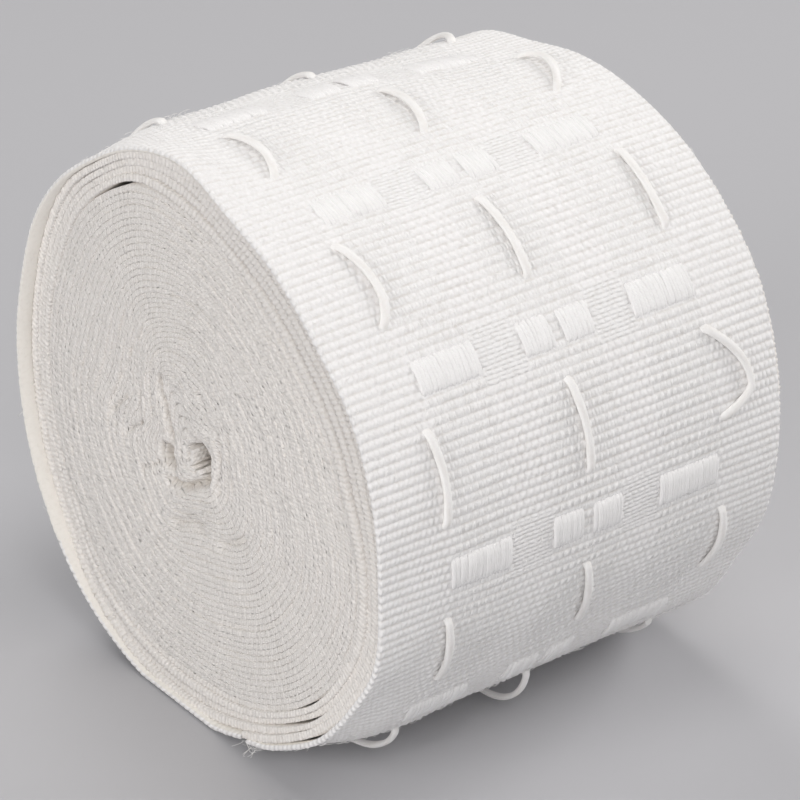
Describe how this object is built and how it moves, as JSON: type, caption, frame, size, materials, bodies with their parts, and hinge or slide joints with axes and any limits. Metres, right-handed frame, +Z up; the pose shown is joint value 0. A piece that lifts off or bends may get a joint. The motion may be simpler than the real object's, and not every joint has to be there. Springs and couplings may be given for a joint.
{
  "type": "roll of curtain heading tape",
  "caption": "Roll of white woven curtain heading tape, wound on itself with no core, with loose draw cord floats and raised pocket bars round the outside.",
  "frame": {"origin": "middle of the roll's footprint, on the surface it lies on", "axes": "+Z up, +X along the roll's axis from the end face that shows to the far one, -Y towards the front of the roll"},
  "size_m": [0.077, 0.0979, 0.0952],
  "materials": {
    "tape_cloth": "matt off-white woven cotton",
    "draw_cord": "soft white twisted cotton cord"
  },
  "bodies": {
    "root": {"cord_float_centre_019": "draw_cord", "cord_float_centre_055": "draw_cord", "cord_float_centre_091": "draw_cord", "cord_float_centre_127": "draw_cord", "cord_float_centre_163": "draw_cord", "cord_float_centre_199": "draw_cord", "cord_float_centre_235": "draw_cord", "cord_float_centre_307": "draw_cord", "cord_float_centre_343": "draw_cord", "cord_float_left_019": "draw_cord", "cord_float_left_055": "draw_cord", "cord_float_left_091": "draw_cord", "cord_float_left_127": "draw_cord", "cord_float_left_163": "draw_cord", "cord_float_left_199": "draw_cord", "cord_float_left_235": "draw_cord", "cord_float_left_307": "draw_cord", "cord_float_left_343": "draw_cord", "cord_float_right_019": "draw_cord", "cord_float_right_055": "draw_cord", "cord_float_right_091": "draw_cord", "cord_float_right_127": "draw_cord", "cord_float_right_163": "draw_cord", "cord_float_right_199": "draw_cord", "cord_float_right_235": "draw_cord", "cord_float_right_307": "draw_cord", "cord_float_right_343": "draw_cord", "tape_roll": "tape_cloth"}
  },
  "joints": []
}
